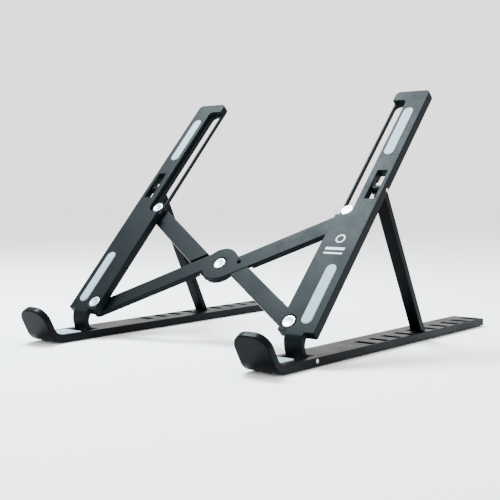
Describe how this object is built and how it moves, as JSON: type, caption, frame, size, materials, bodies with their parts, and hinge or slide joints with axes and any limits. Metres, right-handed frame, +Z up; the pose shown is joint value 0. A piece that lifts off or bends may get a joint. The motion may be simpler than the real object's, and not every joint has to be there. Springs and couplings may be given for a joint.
{
  "type": "laptop stand",
  "caption": "Folding laptop stand with hooked base bars, tilting upper bars, prop legs in notches and crossed arms that fold the two sides together.",
  "frame": {"origin": "middle of the outline of the opened stand, on the floor", "axes": "+X to the right as seen from the hooks, +Y from the hooks to the rear, +Z up"},
  "size_m": [0.1948, 0.2572, 0.1609],
  "materials": {
    "shell": "fine matt texture",
    "base": "fine matt texture",
    "arm": "fine matt texture",
    "leg": "satin",
    "pad": "matt silicone",
    "foot": "matt",
    "steel": "satin"
  },
  "bodies": {
    "left_base": {"left_base_bar": "base", "left_hook_pad": "pad", "left_front_foot": "foot", "left_rear_foot": "foot", "left_hinge_pin": "steel"},
    "left_upper": {"left_upper_bar": "shell", "left_upper_pad": "pad", "left_lower_pad": "pad", "left_leg_pin": "steel", "left_pivot_rivet": "steel", "left_pivot_washer": "steel"},
    "left_leg": {"left_leg": "leg"},
    "top_arm": {"top_arm": "arm", "hub_rivet": "steel", "right_slider_rivet": "steel", "right_slider_washer": "steel"},
    "lower_arm": {"lower_arm": "arm", "left_slider_rivet": "steel", "left_slider_washer": "steel"},
    "right_upper": {"right_upper_bar": "shell", "right_upper_pad": "pad", "right_lower_pad": "pad", "right_leg_pin": "steel", "right_pivot_rivet": "steel", "right_pivot_washer": "steel"},
    "right_base": {"right_base_bar": "base", "right_hook_pad": "pad", "right_front_foot": "foot", "right_rear_foot": "foot", "right_hinge_pin": "steel"},
    "right_leg": {"right_leg": "leg"}
  },
  "joints": [
    {"name": "left_tilt", "type": "hinge", "parent": "left_base", "child": "left_upper", "pos_m": [-0.085, -0.08039, 0.0037], "axis": [1, 0, 0], "range_deg": [0, 40]},
    {"name": "left_leg_fold", "type": "hinge", "parent": "left_upper", "child": "left_leg", "pos_m": [-0.091, -0.00409, 0.09612], "axis": [1, 0, 0], "range_deg": [-68, 0]},
    {"name": "arm_fold", "type": "hinge", "parent": "left_upper", "child": "top_arm", "pos_m": [-0.0778, -0.0738, 0.01776], "axis": [0, -0.7206, 0.6934], "range_deg": [0, 57.6]},
    {"name": "hub_turn", "type": "hinge", "parent": "top_arm", "child": "lower_arm", "pos_m": [0, -0.04385, 0.04889], "axis": [0, -0.7206, 0.6934], "range_deg": [-115.2, 0]},
    {"name": "right_pivot", "type": "hinge", "parent": "lower_arm", "child": "right_upper", "pos_m": [0.0778, -0.0738, 0.01776], "axis": [0, -0.7206, 0.6934], "range_deg": [0, 57.6]},
    {"name": "right_tilt", "type": "hinge", "parent": "right_upper", "child": "right_base", "pos_m": [0.085, -0.08039, 0.0037], "axis": [1, 0, 0], "range_deg": [-40, 0]},
    {"name": "right_leg_fold", "type": "hinge", "parent": "right_upper", "child": "right_leg", "pos_m": [0.091, -0.00409, 0.09612], "axis": [1, 0, 0], "range_deg": [-68, 0]}
  ],
  "couplings": [
    {"joint": "left_leg_fold", "follows": "left_tilt", "ratio": -1.7},
    {"joint": "right_tilt", "follows": "left_tilt", "ratio": -1},
    {"joint": "right_leg_fold", "follows": "left_tilt", "ratio": -1.7},
    {"joint": "hub_turn", "follows": "arm_fold", "ratio": -2},
    {"joint": "right_pivot", "follows": "arm_fold", "ratio": 1}
  ]
}
